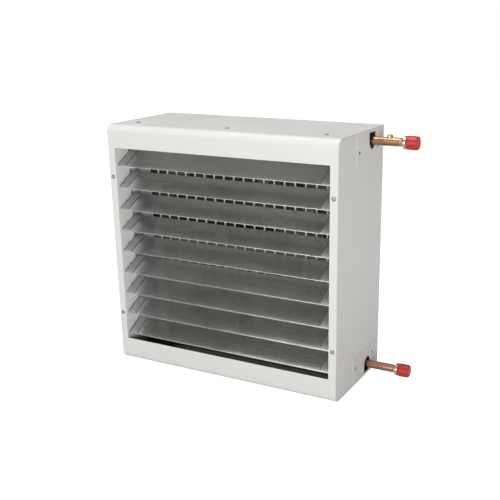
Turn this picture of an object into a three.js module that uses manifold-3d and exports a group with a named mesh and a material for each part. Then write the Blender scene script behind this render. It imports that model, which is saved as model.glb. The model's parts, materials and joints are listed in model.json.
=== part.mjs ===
// Wall-hung hot-water fan heater: a square sheet-steel casing with a louvred air outlet, a guard grid,
// an axial fan drawing air through a finned coil, and two copper pipe ends with transport caps.
// Millimetres, +Z up, the outlet faces -Y and the pipes leave towards +X.
// The origin is the centre of the casing's bottom face.
import * as THREE from "three";
import { mergeVertices } from "three/addons/utils/BufferGeometryUtils.js";
import Module from "manifold-3d";

const wasm = await Module();
wasm.setup();

// ---------- driving dimensions ----------
const casing = { width: 560, height: 560, depth: 244, sheet: 1.25 };
const sides = { small: 10, medium: 16, large: 32 }; // flats on a round piece
const seatGap = 0.25; // between pieces that rest on each other
const runGap = 0.25; // radial, between a pin or shaft and its hole
const roll = { height: 18, depth: 17.5, steps: 6 }; // the rounded top and bottom edges of the front
const outlet = { sideMargin: 17.5, bottomMargin: 54.25, topMargin: 51 };
const flangeReach = 15; // width of the casing's folded flanges
const frontReturn = 60; // how far the front's folded edges reach back under the panels

const louvre = {
  count: 9, lowestAbove: 26.5, highestBelow: 26.25, pivotDepth: 31, chord: 60, sheet: 1.5,
  endClearance: 1.5, lip: 1.5, rearKick: 1.5, rearKickLength: 9, tilt: 29.5,
  holderWidth: 22, holderSheet: 3, holderInset: 3, pinRadius: 3, pinOverrun: 2.5, shoulderRadius: 3.5,
};
const louvreTrim = [0, 0, 0, -1.5, -4, -5, -2.5, -0.5, 0]; // set by hand, degrees, lowest blade first
const rail = { front: 1.5, back: 50, endMargin: 12, setBack: 1.25 };

const guard = {
  depth: 72, thickness: 3, pitch: 25, rowPitch: 75, bar: 4, leastSideMargin: 27, leastEndMargin: 52,
  bracketOverlap: 20, bracketOverrun: 10,
};
const fan = {
  bladeCount: 7, tipClearance: 6, hubWall: 3.5, hubLength: 36, middleDepth: 118,
  rootChord: 56, tipChord: 112, rootAngle: 44, tipAngle: 24, bladeSheet: 2.5, rootOverlap: 1.5,
  bladeSteps: [4, 4],
};
const orifice = { radius: 210, collarLength: 24, plateDepth: 122, flats: 48, flange: 15 };
const motor = {
  bracketDepth: 80, bracketSheet: 3, barHeight: 60, legClearance: 24.75, footLength: 20, padRadius: 50,
  flangeRadius: 48, flangeThickness: 4, coreRadius: 45, coreLength: 44, airGap: 1,
  canSetback: 5.75, canFloorGap: 1.75, canWall: 4, shaftRadius: 5, shaftFrontGap: 2.75, shaftOverhang: 5,
  bearingRadius: 13, bearingWidth: 8, bearingSetback: 2,
};
const coil = {
  fromBack: 69, thickness: 40, endMargin: 62, tubePitch: 50, tubeCount: 11, tubeRadius: 5,
  sideGap: 6.5, plateWidth: 50, plateFlange: 12,
};
const pipe = { radius: 9, wall: 1, fromEdge: 25, leftGap: 16.5, reach: 102.5 };
const union = { ringRadius: 14, ringLength: 7.5, threadRadius: 13, threadLength: 22.5, socketLength: 19 };
const cap = { wall: 1.5, chamfer: 1.5 };
const vent = { fromCasing: 40, radius: 7, height: 5.5, saddle: 6, bore: 2, boreDepth: 5 };
// The slot that a pipe leaves through; its ends are measured from the casing's top or bottom.
const slot = { width: 34, farEnd: 42.5, nearEnd: 7.25, steps: 8 };
const cover = { beforeSlot: 66, behindSlot: 44, nearEdge: 1.5, farEdge: 64, sheet: 1, windowGrow: 4 };
const intake = { sideMargin: 50, endMargin: 60 };
const anchor = { fromSide: 25, fromEnd: 40, boltRadius: 4, outerRadius: 8, length: 9 };
const box = { fromSide: 8, width: 72, bottom: 12, height: 50, wall: 2, depth: 34, lid: 2.5, cableHole: 8 };
const terminal = { margin: 12, depth: 14, height: 16, notch: 3, notches: 3 };
const grommet = { depth: 100, height: 37, neck: 10, flange: 12.5, lipThickness: 2, bore: 5 };

const bigScrew = { head: 4.25, headHeight: 2.5, shank: 2, length: 9 };
const smallScrew = { head: 3, headHeight: 1.75, shank: 1.5, length: 6 };
const ventScrew = { head: 3, headHeight: 2.5, shank: 1.75, length: 4 };
const frontScrew = { fromSide: 8.75, aboveOutletBottom: 64.25, belowOutletTop: 65.5 };
const topScrew = { depth: 52, fromSide: 49 };
const coverScrew = { behindFront: 12, beforeBack: 30, fromEdge: 41 };

// ---------- derived places ----------
const halfWidth = casing.width / 2;
const frontY = -casing.depth / 2;
const backY = casing.depth / 2;
const sheet = casing.sheet;
const innerTop = casing.height - sheet - seatGap; // underside of the top panel, less the gap
const innerBottom = sheet + seatGap;
const sideInner = halfWidth - sheet - seatGap; // where pieces that rest on the side panels end
const outletHalf = halfWidth - outlet.sideMargin;
const outletTop = casing.height - outlet.topMargin;
const bladeHalf = outletHalf - louvre.endClearance;
const railFace = outletHalf + rail.setBack; // inner face of the louvre rails
const middleZ = casing.height / 2;
const coilDepth = casing.depth - coil.fromBack;
const pipeHeights = { upper: casing.height - pipe.fromEdge, lower: pipe.fromEdge };
const fromFront = (depth) => frontY + depth;
const radians = THREE.MathUtils.degToRad;

// ---------- shaping helpers ----------
// Maps a drawing's x, y and extrusion onto Y, Z and X.
const drawnAcrossX = new THREE.Matrix4().makeBasis(
  new THREE.Vector3(0, 1, 0), new THREE.Vector3(0, 0, 1), new THREE.Vector3(1, 0, 0));
// Maps a drawing's x, y and extrusion onto X, Z and -Y.
const drawnAcrossY = new THREE.Matrix4().makeBasis(
  new THREE.Vector3(1, 0, 0), new THREE.Vector3(0, 0, 1), new THREE.Vector3(0, -1, 0));

function solidOf(geometry) {
  const bare = geometry.clone();
  bare.deleteAttribute("normal");
  bare.deleteAttribute("uv");
  const merged = mergeVertices(bare, 1e-4);
  return new wasm.Manifold(new wasm.Mesh({
    numProp: 3,
    vertProperties: merged.attributes.position.array,
    triVerts: new Uint32Array(merged.index.array),
  }));
}

function geometryOf(solid) {
  const mesh = solid.getMesh();
  const geometry = new THREE.BufferGeometry();
  geometry.setAttribute("position", new THREE.BufferAttribute(mesh.vertProperties, 3));
  geometry.setIndex(new THREE.BufferAttribute(mesh.triVerts, 1));
  return geometry.toNonIndexed();
}

const join = (first, ...rest) =>
  geometryOf(rest.reduce((solid, piece) => solid.add(solidOf(piece)), solidOf(first)));
const cut = (blank, ...tools) =>
  geometryOf(tools.reduce((solid, tool) => solid.subtract(solidOf(tool)), solidOf(blank)));

function block(x0, x1, y0, y1, z0, z1) {
  return new THREE.BoxGeometry(x1 - x0, y1 - y0, z1 - z0)
    .translate((x0 + x1) / 2, (y0 + y1) / 2, (z0 + z1) / 2);
}

// A round bar along one axis; the other two coordinates give its centre line.
function barX(radius, x0, x1, y, z, flats = sides.medium) {
  return new THREE.CylinderGeometry(radius, radius, x1 - x0, flats)
    .rotateZ(-Math.PI / 2).translate((x0 + x1) / 2, y, z);
}
function barY(radius, y0, y1, x, z, flats = sides.medium) {
  return new THREE.CylinderGeometry(radius, radius, y1 - y0, flats).translate(x, (y0 + y1) / 2, z);
}
function barZ(radius, z0, z1, x, y, flats = sides.medium) {
  return new THREE.CylinderGeometry(radius, radius, z1 - z0, flats)
    .rotateX(Math.PI / 2).translate(x, y, (z0 + z1) / 2);
}

// A turned piece about Y from [radius, height] pairs that start and end on the axis.
function turned(pairs, flats = sides.medium) {
  return new THREE.LatheGeometry(pairs.map(([r, h]) => new THREE.Vector2(r, h)), flats);
}
// A turned ring about Y: the outline closes on itself.
const turnedRing = (pairs, flats = sides.medium) => turned([...pairs, pairs[0]], flats);

const outline = (pairs) => new THREE.Shape(pairs.map(([a, b]) => new THREE.Vector2(a, b)));
const rectangle = (a0, a1, b0, b1) => [[a0, b0], [a1, b0], [a1, b1], [a0, b1]];

function circle(a, b, radius, flats = sides.medium) {
  return Array.from({ length: flats }, (_, i) => {
    const turn = (2 * Math.PI * i) / flats;
    return [a + radius * Math.cos(turn), b + radius * Math.sin(turn)];
  });
}

function plate(shape, thickness, holes = []) {
  const drawing = outline(shape);
  drawing.holes = holes.map((hole) => new THREE.Path(hole.map(([a, b]) => new THREE.Vector2(a, b))));
  return new THREE.ExtrudeGeometry(drawing, { depth: thickness, bevelEnabled: false });
}
// A flat plate drawn in Y and Z, starting at x0.
const plateAcrossX = (shape, x0, thickness, holes) =>
  plate(shape, thickness, holes).applyMatrix4(drawnAcrossX).translate(x0, 0, 0);
// A flat plate drawn in X and Z, starting at y0.
const plateAcrossY = (shape, y0, thickness, holes) =>
  plate(shape, thickness, holes).applyMatrix4(drawnAcrossY).translate(0, y0 + thickness, 0);

// The outline of a bent strip of sheet from the points of its centre line.
function bentStrip(points, thickness) {
  const line = points.map(([a, b]) => new THREE.Vector2(a, b));
  const normals = line.slice(1).map((point, i) => {
    const along = point.clone().sub(line[i]).normalize();
    return new THREE.Vector2(-along.y, along.x);
  });
  const edge = (sign) => line.map((point, i) => {
    const before = normals[Math.max(i - 1, 0)];
    const after = normals[Math.min(i, normals.length - 1)];
    const mitre = before.clone().add(after).divideScalar(1 + before.dot(after));
    return point.clone().addScaledVector(mitre, (sign * thickness) / 2).toArray();
  });
  return [...edge(-1), ...edge(1).toReversed()];
}

// ---------- finishes ----------
const finish = {
  paint: { color: 0xe9e7e1, roughness: 0.45, metalness: 0 },
  galvanised: { color: 0xa9adad, roughness: 0.5, metalness: 0.8 },
  aluminium: { color: 0xc3c7c8, roughness: 0.3, metalness: 1 },
  fins: { color: 0xb4b8ba, roughness: 0.45, metalness: 1 },
  darkSteel: { color: 0x3b3e3f, roughness: 0.6, metalness: 0.5 },
  blackPlastic: { color: 0x1c1d1e, roughness: 0.5, metalness: 0 },
  zinc: { color: 0xc9c9c4, roughness: 0.3, metalness: 1 },
  bearing: { color: 0x9da0a3, roughness: 0.25, metalness: 1 },
  copper: { color: 0xb87352, roughness: 0.35, metalness: 1 },
  brass: { color: 0xc9a25a, roughness: 0.35, metalness: 1 },
  redPlastic: { color: 0xc8282d, roughness: 0.4, metalness: 0 },
  paleBlock: { color: 0xd8d6cf, roughness: 0.6, metalness: 0 },
  rubber: { color: 0x242424, roughness: 0.8, metalness: 0 },
};

const heater = new THREE.Group();

function addMesh(name, geometry, look, parent = heater) {
  const mesh = new THREE.Mesh(geometry, new THREE.MeshStandardMaterial(look));
  mesh.name = name;
  parent.add(mesh);
  return mesh;
}

// ---------- casing ----------
// Points of the rolled edge, as depth from the front and drop from the nearest casing face, from the
// panel's edge round to the front face. The two insets move it towards the inside of the sheet.
function rolledEdge(depthInset, dropInset) {
  return Array.from({ length: roll.steps + 1 }, (_, i) => {
    const turn = ((Math.PI / 2) * i) / roll.steps;
    return [roll.depth - (roll.depth - depthInset) * Math.sin(turn),
      roll.height - (roll.height - dropInset) * Math.cos(turn)];
  });
}

const returnTop = sheet + seatGap; // drop from the casing face to the folded return under the panel
const returnBottom = returnTop + sheet;

// The front's section in depth and height: flat face, rolled edges and stepped returns under the panels.
function frontSection() {
  const upper = ([depth, drop]) => [fromFront(depth), casing.height - drop];
  const lower = ([depth, rise]) => [fromFront(depth), rise];
  const outerHalf = [[frontReturn, returnTop], [roll.depth, returnTop], ...rolledEdge(0, 0)];
  const innerHalf = [[frontReturn, returnBottom], ...rolledEdge(sheet, returnBottom)];
  return [
    ...outerHalf.map(upper),
    ...outerHalf.toReversed().map(lower),
    ...innerHalf.map(lower),
    ...innerHalf.toReversed().map(upper),
  ];
}

function frontFrame() {
  const across = plateAcrossX(frontSection(), -halfWidth, casing.width);
  const opening = block(
    -outletHalf, outletHalf, frontY - 1, fromFront(roll.depth), outlet.bottomMargin, outletTop);
  // the returns stop short of the side panels' flanges
  const inset = flangeReach + sheet + 2 * seatGap;
  const notches = [-1, 1].flatMap((side) => [0, 1].map((end) => {
    const x0 = side < 0 ? -halfWidth - 1 : halfWidth - inset;
    const z0 = end ? casing.height - roll.height : 0;
    const [nearY, farY] = [fromFront(roll.depth), fromFront(frontReturn + 1)];
    return block(x0, x0 + inset + 1, nearY, farY, z0, z0 + roll.height);
  }));
  return cut(across, opening, ...notches, ...frontScrewHoles(), ...topScrewHoles());
}

const frontScrewHeights = [outlet.bottomMargin + frontScrew.aboveOutletBottom,
  outletTop - frontScrew.belowOutletTop];
const frontScrewPlaces = frontScrewHeights.flatMap((z) =>
  [-1, 1].map((side) => [side * (halfWidth - frontScrew.fromSide), z]));
const topScrewPlaces = [-1, 0, 1].map((side) => side * (halfWidth - topScrew.fromSide));
// The drills start outside the casing and go through the two sheets that each screw holds.
const drill = { radius: bigScrew.shank + runGap, outside: 2, inside: 3 * sheet };
const frontScrewHoles = () => frontScrewPlaces.map(([x, z]) =>
  barY(drill.radius, frontY - drill.outside, frontY + drill.inside, x, z, sides.small));
const topScrewHoles = () => topScrewPlaces.map((x) =>
  barZ(drill.radius, casing.height - drill.inside, casing.height + drill.outside, x,
    fromFront(topScrew.depth), sides.small));

const panelFront = roll.depth + 2 * seatGap; // the flat panels start behind the rolled edges
const rearReturnFront = casing.depth - flangeReach;

function topPanel() {
  const flat = block(-halfWidth, halfWidth, fromFront(panelFront), backY - sheet - seatGap,
    casing.height - sheet, casing.height);
  return cut(flat, ...topScrewHoles());
}

const bottomPanel = () =>
  block(-halfWidth, halfWidth, fromFront(panelFront), backY - sheet - seatGap, 0, sheet);

// The side panels' outline in depth and height: it follows the inside of the rolled edges.
function sideOutline() {
  const clear = sheet + seatGap;
  const drop = returnBottom + seatGap;
  const corner = [[panelFront, returnTop], [panelFront, drop], ...rolledEdge(clear, drop)];
  const upper = corner.map(([depth, down]) => [fromFront(depth), casing.height - down]);
  const lower = corner.toReversed().map(([depth, up]) => [fromFront(depth), up]);
  return [[backY - clear, innerTop], ...upper, ...lower, [backY - clear, innerBottom]];
}

function sidePanel(side, windows) {
  const x0 = side < 0 ? -halfWidth : halfWidth - sheet;
  const web = plateAcrossX(sideOutline(), x0, sheet, windows);
  const inward = side < 0 ? [x0 + sheet / 2, x0 + sheet + flangeReach] : [x0 - flangeReach, x0 + sheet / 2];
  const flangeFront = fromFront(panelFront + 2 * sheet);
  const flangeBack = fromFront(rearReturnFront) + flangeReach - sheet - seatGap;
  return join(web,
    block(...inward, flangeFront, flangeBack, innerTop - sheet, innerTop),
    block(...inward, flangeFront, flangeBack, innerBottom, innerBottom + sheet));
}

// The upper and lower pipe covers mirror each other about the casing's middle height.
const heightFromEdge = (end, distance) => (end === "upper" ? casing.height - distance : distance);

// The open slot that a pipe leaves through, drawn in depth and height.
function slotOutline(end, grow) {
  const middle = fromFront(coilDepth);
  const radius = slot.width / 2 + grow;
  const arcCentre = slot.farEnd - slot.width / 2;
  const arc = Array.from({ length: slot.steps + 1 }, (_, i) => {
    const turn = (Math.PI * i) / slot.steps;
    return [middle + radius * Math.cos(turn), arcCentre + radius * Math.sin(turn)];
  });
  const near = slot.nearEnd - grow;
  return [...arc, [middle - radius, near], [middle + radius, near]]
    .map(([y, distance]) => [y, heightFromEdge(end, distance)]);
}

const coverFront = coilDepth - slot.width / 2 - cover.beforeSlot;
const coverBack = coilDepth + slot.width / 2 + cover.behindSlot;
const coverScrewDepths = [coverFront + coverScrew.behindFront, coverBack - coverScrew.beforeBack];
const coverScrewHoles = (end) => coverScrewDepths.map((depth) => circle(
  fromFront(depth), heightFromEdge(end, coverScrew.fromEdge), smallScrew.shank + runGap, sides.small));

function pipeCover(end) {
  const heights = [cover.nearEdge, cover.farEdge].map((d) => heightFromEdge(end, d)).sort((a, b) => a - b);
  return plateAcrossX(rectangle(fromFront(coverFront), fromFront(coverBack), ...heights),
    halfWidth + seatGap, cover.sheet, [slotOutline(end, 0), ...coverScrewHoles(end)]);
}

function rearFrame() {
  const air = rectangle(-halfWidth + intake.sideMargin, halfWidth - intake.sideMargin,
    intake.endMargin, casing.height - intake.endMargin);
  const bolts = anchorPlaces.map(([x, z]) => circle(x, z, anchor.boltRadius + runGap));
  const face = rectangle(-halfWidth, halfWidth, 0, casing.height);
  const panel = plateAcrossY(face, backY - sheet, sheet, [air, ...bolts]);
  const half = halfWidth - flangeReach - sheet - 2 * seatGap;
  const folds = [[innerTop - sheet, innerTop], [innerBottom, innerBottom + sheet]].map(([z0, z1]) =>
    block(-half, half, backY - flangeReach, backY - sheet / 2, z0, z1));
  return join(panel, ...folds);
}

const anchorPlaces = [1, -1].flatMap((end) => [-1, 1].map((side) =>
  [side * (halfWidth - anchor.fromSide), middleZ + end * (middleZ - anchor.fromEnd)]));

const weldNut = () => turnedRing([
  [anchor.boltRadius, 0], [anchor.outerRadius, 0], [anchor.outerRadius, anchor.length],
  [anchor.boltRadius, anchor.length]]);

// A pan-headed screw along Y with its seat at the origin and its head towards +Y.
function screw(size) {
  const crown = { shoulder: 0.92, shoulderHeight: 0.6, flat: 0.55 }; // shares of the head
  return turned([[0, -size.length], [size.shank, -size.length], [size.shank, 0], [size.head, 0],
    [size.head * crown.shoulder, size.headHeight * crown.shoulderHeight],
    [size.head * crown.flat, size.headHeight], [0, size.headHeight]], sides.small);
}

// ---------- louvres ----------
const lowestPivot = outlet.bottomMargin + louvre.lowestAbove;
const louvrePitch = (outletTop - louvre.highestBelow - lowestPivot) / (louvre.count - 1);
const pivotHeight = (index) => lowestPivot + louvrePitch * index;

function louvreRail(side) {
  const z0 = outlet.bottomMargin - rail.endMargin;
  const z1 = outletTop + rail.endMargin;
  const web = [railFace, railFace + sheet].map((x) => side * x).sort((a, b) => a - b);
  const flange = [railFace, sideInner].map((x) => side * x).sort((a, b) => a - b);
  const pivots = Array.from({ length: louvre.count }, (_, i) => barX(louvre.pinRadius + runGap,
    web[0] - 1, web[1] + 1, fromFront(louvre.pivotDepth), pivotHeight(i), sides.small));
  const angle = join(
    block(...web, fromFront(rail.front), fromFront(rail.back), z0, z1),
    block(...flange, fromFront(rail.front), fromFront(rail.front) + sheet, z0, z1));
  return cut(angle, ...pivots, ...frontScrewHoles());
}

// One blade with the holder and pin at each end, about its own pivot line, lying level.
function louvreBlade() {
  const half = louvre.chord / 2;
  const front = -half + louvre.sheet / 2;
  const centreLine = [[front, -louvre.lip], [front, 0],
    [half - louvre.rearKickLength, 0], [half, louvre.rearKick]];
  const blade = plateAcrossX(bentStrip(centreLine, louvre.sheet), -bladeHalf, 2 * bladeHalf);
  const shoulderEnd = railFace - seatGap;
  const holderHalf = half - louvre.holderInset;
  const thick = louvre.holderSheet / 2;
  const ends = [-1, 1].flatMap((side) => {
    const span = (x0, x1) => [side * x0, side * x1].sort((a, b) => a - b);
    return [
      block(...span(bladeHalf - louvre.holderWidth, bladeHalf + seatGap), -holderHalf, holderHalf,
        -thick, thick),
      barX(louvre.shoulderRadius, ...span(bladeHalf - 1, shoulderEnd), 0, 0, sides.small),
      barX(louvre.pinRadius, ...span(shoulderEnd - 1, railFace + sheet + louvre.pinOverrun), 0, 0,
        sides.small),
    ];
  });
  return join(blade, ...ends);
}

// ---------- guard ----------
// As many whole gaps as fit between the least margins.
const guardColumns = Math.floor((casing.width - 2 * guard.leastSideMargin) / guard.pitch);
const guardRows = Math.floor((casing.height - 2 * guard.leastEndMargin) / guard.rowPitch);
const halfAcross = (guardColumns * guard.pitch) / 2;
const halfUp = (guardRows * guard.rowPitch) / 2;

// Upright bars crossed by level ones, welded in one plane.
function guardGrid() {
  const half = guard.bar / 2;
  const front = fromFront(guard.depth);
  const back = front + guard.thickness;
  const uprights = Array.from({ length: guardColumns + 1 }, (_, i) => {
    const x = i * guard.pitch - halfAcross;
    return block(x - half, x + half, front, back, middleZ - halfUp - half, middleZ + halfUp + half);
  });
  const levels = Array.from({ length: guardRows + 1 }, (_, i) => {
    const z = middleZ - halfUp + i * guard.rowPitch;
    return block(-halfAcross - half, halfAcross + half, front, back, z - half, z + half);
  });
  return join(...uprights, ...levels);
}

function guardBracket(side) {
  const flangeFront = fromFront(guard.depth) + guard.thickness + seatGap;
  const heights = [middleZ - halfUp - guard.bracketOverrun, middleZ + halfUp + guard.bracketOverrun];
  const innerEdge = halfAcross + guard.bar / 2 - guard.bracketOverlap;
  const span = (x0, x1) => [side * x0, side * x1].sort((a, b) => a - b);
  return join(
    block(...span(sideInner - sheet, sideInner), flangeFront - flangeReach, flangeFront + sheet,
      ...heights),
    block(...span(innerEdge, sideInner), flangeFront, flangeFront + sheet, ...heights));
}

// ---------- fan and motor ----------
function shroudPlate() {
  const bottom = innerBottom + sheet + seatGap;
  const top = innerTop - sheet - seatGap;
  const front = fromFront(orifice.plateDepth);
  const panel = plateAcrossY(rectangle(-sideInner, sideInner, bottom, top), front, sheet,
    [circle(0, middleZ, orifice.radius + sheet / 2, orifice.flats)]);
  const collar = turnedRing([
    [orifice.radius, -orifice.collarLength], [orifice.radius + sheet, -orifice.collarLength],
    [orifice.radius + sheet, sheet], [orifice.radius, sheet]], orifice.flats).translate(0, front, middleZ);
  const folds = [[-sideInner, -sideInner + sheet], [sideInner - sheet, sideInner]].map(([x0, x1]) =>
    block(x0, x1, front, front + orifice.flange, bottom, top));
  return join(panel, collar, ...folds);
}

function motorBracket() {
  const half = motor.bracketSheet / 2;
  const bar = motor.bracketDepth + half;
  const foot = orifice.plateDepth - seatGap - half;
  const leg = orifice.radius + sheet + motor.legClearance;
  const rightHalf = [[leg, bar], [leg, foot], [leg + motor.footLength, foot]];
  const plan = [...rightHalf.toReversed(), ...rightHalf.map(([x, depth]) => [-x, depth])]
    .map(([x, depth]) => [x, fromFront(depth)]);
  const strap = plate(bentStrip(plan, motor.bracketSheet), motor.barHeight)
    .translate(0, 0, middleZ - motor.barHeight / 2);
  const front = fromFront(motor.bracketDepth);
  const pad = barY(motor.padRadius, front, front + motor.bracketSheet, 0, middleZ, sides.large);
  return join(strap, pad);
}

const canInner = motor.coreRadius + motor.airGap;
const canOuter = canInner + motor.canWall;
const stationFront = motor.bracketDepth + motor.bracketSheet + seatGap;
const coreBack = stationFront + motor.flangeThickness + motor.coreLength;
const canFront = stationFront + motor.flangeThickness + motor.canSetback;
const canFloor = coreBack + motor.canFloorGap;
const canBack = canFloor + motor.canWall;
const shaftEnds = [stationFront + motor.shaftFrontGap, canBack + motor.shaftOverhang];
const bearingDepths = [shaftEnds[0] + motor.bearingSetback,
  coreBack - motor.bearingSetback - motor.bearingWidth];

// The turned pieces of the motor take their heights as depth from the casing's front.
function motorStator() {
  const flangeBack = stationFront + motor.flangeThickness;
  const bore = motor.bearingRadius + seatGap;
  return turnedRing([
    [bore, stationFront], [motor.flangeRadius, stationFront], [motor.flangeRadius, flangeBack],
    [motor.coreRadius, flangeBack], [motor.coreRadius, coreBack], [bore, coreBack]], sides.large);
}

function motorBearing(depth) {
  const bore = motor.shaftRadius + runGap;
  const back = depth + motor.bearingWidth;
  return turnedRing([
    [bore, depth], [motor.bearingRadius, depth], [motor.bearingRadius, back], [bore, back]]);
}

const motorShaft = () => turned([[0, shaftEnds[0]], [motor.shaftRadius, shaftEnds[0]],
  [motor.shaftRadius, shaftEnds[1]], [0, shaftEnds[1]]]);

function rotorCan() {
  const bore = motor.shaftRadius + seatGap;
  return turnedRing([[canInner, canFront], [canOuter, canFront], [canOuter, canBack],
    [bore, canBack], [bore, canFloor], [canInner, canFloor]], sides.large);
}

// A blade is a flat slab bent into a twisted, tapering shape that keeps each station at its own radius.
function fanBlade(rootRadius, tipRadius) {
  const slab = new THREE.BoxGeometry(1, 1, 1, ...fan.bladeSteps, 1);
  const place = slab.attributes.position;
  for (let i = 0; i < place.count; i++) {
    const along = place.getX(i) + 0.5;
    const radius = THREE.MathUtils.lerp(rootRadius, tipRadius, along);
    const chord = THREE.MathUtils.lerp(fan.rootChord, fan.tipChord, along) * place.getY(i);
    const depth = fan.bladeSheet * place.getZ(i);
    const angle = radians(THREE.MathUtils.lerp(fan.rootAngle, fan.tipAngle, along));
    const turn = (chord * Math.cos(angle) - depth * Math.sin(angle)) / radius;
    const axial = chord * Math.sin(angle) + depth * Math.cos(angle);
    place.setXYZ(i, radius * Math.cos(turn), axial, -radius * Math.sin(turn));
  }
  return slab;
}

function fanImpeller() {
  const inner = canOuter + seatGap;
  const outer = inner + fan.hubWall;
  const half = fan.hubLength / 2;
  const hub = turnedRing([[inner, -half], [outer, -half], [outer, half], [inner, half]], sides.large);
  const blades = Array.from({ length: fan.bladeCount }, (_, i) =>
    fanBlade(outer - fan.rootOverlap, orifice.radius - fan.tipClearance)
      .rotateY((2 * Math.PI * i) / fan.bladeCount));
  return join(hub, ...blades);
}

// ---------- coil and pipes ----------
const tubePlaces = Array.from({ length: coil.tubeCount }, (_, i) =>
  (i - (coil.tubeCount - 1) / 2) * coil.tubePitch);

const coilTop = casing.height - coil.endMargin;

function coilCore() {
  const y = fromFront(coilDepth);
  const half = sideInner - coil.sideGap;
  const fins = block(-half, half, y - coil.thickness / 2, y + coil.thickness / 2, coil.endMargin, coilTop);
  const tubes = tubePlaces.flatMap((x) => [
    barZ(coil.tubeRadius, coilTop - 1, pipeHeights.upper - pipe.radius - seatGap, x, y, sides.small),
    barZ(coil.tubeRadius, pipeHeights.lower + pipe.radius + seatGap, coil.endMargin + 1, x, y, sides.small),
  ]);
  return join(fins, ...tubes);
}

// A channel across the casing that carries the coil; end is 1 above it and -1 below.
function coilPlate(end) {
  const y = fromFront(coilDepth);
  const half = coil.plateWidth / 2;
  const seat = end > 0 ? coilTop + seatGap : coil.endMargin - seatGap;
  const span = (reach) => [seat, seat + end * reach].sort((a, b) => a - b);
  const channel = join(
    block(-sideInner, sideInner, y - half, y + half, ...span(sheet)),
    block(-sideInner, sideInner, y - half, y - half + sheet, ...span(coil.plateFlange)),
    block(-sideInner, sideInner, y + half - sheet, y + half, ...span(coil.plateFlange)));
  return cut(channel, ...tubePlaces.map((x) =>
    barZ(coil.tubeRadius + seatGap, seat - 2 * sheet, seat + 2 * sheet, x, y, sides.small)));
}

// Along X from the casing's middle: where the union, its thread and the cap begin and end.
const capEnd = halfWidth + pipe.reach;
const capFloor = capEnd - cap.wall;
const unionEnd = capFloor - seatGap;
const ringEnd = unionEnd - union.threadLength;
const ringStart = ringEnd - union.ringLength;
const pipeEnd = ringStart + union.socketLength - seatGap;
const boreRadius = pipe.radius - pipe.wall;

// The turned pieces of a pipe end lie along +X with their heights measured from the casing's middle.
const laidAlongX = (geometry) => geometry.rotateZ(-Math.PI / 2);

function headerPipe() {
  const left = -halfWidth + pipe.leftGap;
  return laidAlongX(turned([[0, left], [pipe.radius, left], [pipe.radius, pipeEnd], [boreRadius, pipeEnd],
    [boreRadius, left + pipe.wall], [0, left + pipe.wall]]));
}

function pipeUnion() {
  const socket = pipe.radius + seatGap;
  const socketFloor = ringStart + union.socketLength;
  return laidAlongX(turnedRing([
    [socket, ringStart], [union.ringRadius, ringStart], [union.ringRadius, ringEnd],
    [union.threadRadius, ringEnd], [union.threadRadius, unionEnd], [boreRadius, unionEnd],
    [boreRadius, socketFloor], [socket, socketFloor]]));
}

function pipeCap() {
  const inner = union.threadRadius + runGap;
  const outer = inner + cap.wall;
  const mouth = ringEnd + seatGap;
  return laidAlongX(turned([[0, capFloor], [inner, capFloor], [inner, mouth], [outer, mouth],
    [outer, capEnd - cap.chamfer], [outer - cap.chamfer, capEnd], [0, capEnd]]));
}

const ventX = halfWidth + vent.fromCasing;
const ventTop = pipeHeights.upper + pipe.radius + vent.height;

function ventBody() {
  const y = fromFront(coilDepth);
  const z = pipeHeights.upper;
  return cut(barZ(vent.radius, ventTop - vent.height - vent.saddle, ventTop, ventX, y),
    barX(pipe.radius + seatGap, ventX - 2 * vent.radius, ventX + 2 * vent.radius, y, z),
    barZ(vent.bore, ventTop - vent.boreDepth, ventTop + 1, ventX, y, sides.small));
}

// ---------- electrical connection ----------
const boxLeft = -halfWidth + box.fromSide;
const boxBack = fromFront(orifice.plateDepth) - seatGap;
const boxFront = boxBack - box.depth;
const grommetY = fromFront(grommet.depth);

function terminalBox() {
  const shell = block(boxLeft, boxLeft + box.width, boxFront, boxBack, box.bottom, box.bottom + box.height);
  const inside = block(boxLeft + box.wall, boxLeft + box.width - box.wall, boxFront - 1, boxBack - box.wall,
    box.bottom + box.wall, box.bottom + box.height - box.wall);
  const cableWay = barX(box.cableHole, boxLeft - 1, boxLeft + box.wall + 1, grommetY, grommet.height);
  return cut(shell, inside, cableWay);
}

const terminalBoxLid = () => block(boxLeft, boxLeft + box.width,
  boxFront - seatGap - box.lid, boxFront - seatGap, box.bottom, box.bottom + box.height);

function terminalBlock() {
  const x0 = boxLeft + terminal.margin;
  const x1 = boxLeft + box.width - terminal.margin;
  const back = boxBack - box.wall - seatGap;
  const middle = box.bottom + box.height / 2;
  const half = terminal.height / 2;
  const body = block(x0, x1, back - terminal.depth, back, middle - half, middle + half);
  const pitch = (x1 - x0) / (terminal.notches + 1);
  const notches = Array.from({ length: terminal.notches }, (_, i) => {
    const x = x0 + pitch * (i + 1);
    return block(x - terminal.notch / 2, x + terminal.notch / 2, back - terminal.depth - 1,
      back - terminal.depth + terminal.notch, middle - terminal.height, middle + terminal.height);
  });
  return cut(body, ...notches);
}

function cableGrommet() {
  const groove = sheet + 2 * seatGap;
  const lip = grommet.lipThickness;
  const outer = -halfWidth - seatGap - lip;
  return laidAlongX(turnedRing([
    [grommet.bore, outer], [grommet.flange, outer], [grommet.flange, outer + lip],
    [grommet.neck, outer + lip], [grommet.neck, outer + lip + groove],
    [grommet.flange, outer + lip + groove], [grommet.flange, outer + 2 * lip + groove],
    [grommet.bore, outer + 2 * lip + groove]]));
}

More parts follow.
